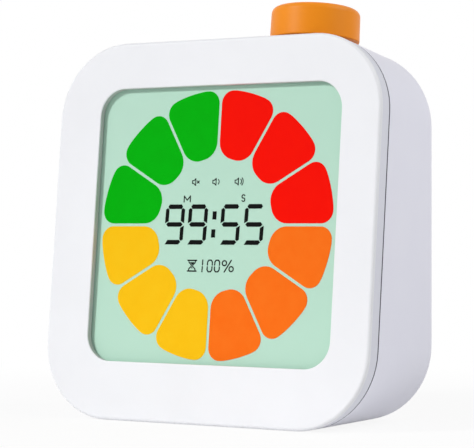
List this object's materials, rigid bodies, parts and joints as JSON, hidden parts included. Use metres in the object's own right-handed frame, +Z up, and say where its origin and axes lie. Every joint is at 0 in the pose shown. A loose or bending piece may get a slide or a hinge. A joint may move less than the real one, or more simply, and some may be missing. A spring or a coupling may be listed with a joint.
{
  "type": "visual countdown timer",
  "caption": "Desk countdown timer with a leaning LCD face, a ring of coloured petals around the digits, a turn-and-press knob on top and a battery bay at the back.",
  "frame": {"origin": "centre of the footprint, on the surface that the base rests on", "axes": "+X to the right as the user sees the face, +Y from the face to the back, +Z up"},
  "size_m": [0.088, 0.038, 0.0974],
  "materials": {
    "bezel_white": "satin moulded ABS, white",
    "shell_white": "satin moulded ABS, cool white",
    "door_white": "satin moulded ABS, cool white",
    "knob_orange": "satin moulded ABS, orange",
    "film_green": "matt polariser film, pale green",
    "ink_green": "flat printed colour, green",
    "ink_yellow": "flat printed colour, yellow",
    "ink_orange": "flat printed colour, orange",
    "ink_red": "flat printed colour, red",
    "segment_black": "switched-on liquid crystal, black",
    "gasket_foam": "thin closed-cell foam",
    "glass_clear": "clear float glass",
    "reflector_grey": "satin metallised film",
    "frame_plastic": "moulded plastic",
    "strip_rubber": "layered conductive rubber",
    "board_green": "fibreglass board with solder mask",
    "chip_black": "cast epoxy",
    "chip_ceramic": "fired ceramic with tinned ends",
    "can_silver": "plated steel",
    "screw_steel": "zinc-plated steel",
    "spring_steel": "nickel-plated spring wire",
    "contact_brass": "plated brass strip",
    "capacitor_sleeve": "shrink sleeve",
    "socket_ivory": "moulded nylon",
    "rotor_plastic": "moulded acetal",
    "ribbon_grey": "flat ribbon, vinyl",
    "lead_red": "vinyl-insulated leads",
    "slider_grey": "moulded acetal",
    "magnet_grey": "nickel-plated magnet",
    "cone_black": "pressed film diaphragm",
    "cell_wrap": "plain sleeve over steel can, no print"
  },
  "bodies": {
    "housing": {"front_bezel": "bezel_white", "rear_shell": "shell_white", "shell_screws": "screw_steel", "lcd_gasket": "gasket_foam", "lcd_front_film": "film_green", "petals_green": "ink_green", "petals_yellow": "ink_yellow", "petals_orange": "ink_orange", "petals_red": "ink_red", "time_digits": "segment_black", "status_signs": "segment_black", "lcd_front_glass": "glass_clear", "lcd_rear_glass": "glass_clear", "lcd_reflector": "reflector_grey", "lcd_frame": "frame_plastic", "contact_strips": "strip_rubber", "main_board": "board_green", "controller_chip": "chip_black", "clock_crystal": "can_silver", "filter_capacitor": "capacitor_sleeve", "board_chips": "chip_ceramic", "lead_sockets": "socket_ivory", "board_screws": "screw_steel", "encoder_board": "board_green", "encoder_screws": "screw_steel", "encoder_body": "can_silver", "press_dome": "contact_brass", "encoder_ribbon": "ribbon_grey", "switch_board": "board_green", "switch_screws": "screw_steel", "switch_can": "can_silver", "switch_leads": "lead_red", "speaker_frame": "can_silver", "speaker_magnet": "magnet_grey", "speaker_cone": "cone_black", "speaker_leads": "lead_red", "aaa_cells": "cell_wrap", "contact_plates": "contact_brass", "contact_springs": "spring_steel", "battery_leads": "lead_red"},
    "rotor": {"encoder_rotor": "rotor_plastic"},
    "knob": {"knob": "knob_orange", "encoder_shaft": "can_silver"},
    "sound_slider": {"switch_slider": "slider_grey"},
    "door": {"battery_door": "door_white"}
  },
  "joints": [
    {"name": "knob_turn", "type": "hinge", "parent": "housing", "child": "rotor", "pos_m": [0.0181, 0.00429, 0.08804], "axis": [0, 0.1045, 0.9945], "continuous": true},
    {"name": "knob_press", "type": "slide", "parent": "rotor", "child": "knob", "axis": [0, 0.1045, 0.9945], "range_m": [-0.0005, 0], "stiffness_N_per_m": 6000, "springref_m": 0.0002},
    {"name": "sound_slide", "type": "slide", "parent": "housing", "child": "sound_slider", "axis": [1, 0, 0], "range_m": [-0.002, 0.002]},
    {"name": "door_swing", "type": "hinge", "parent": "housing", "child": "door", "pos_m": [0, 0.01796, 0.01125], "axis": [-1, 0, 0], "range_deg": [0, 95]}
  ]
}
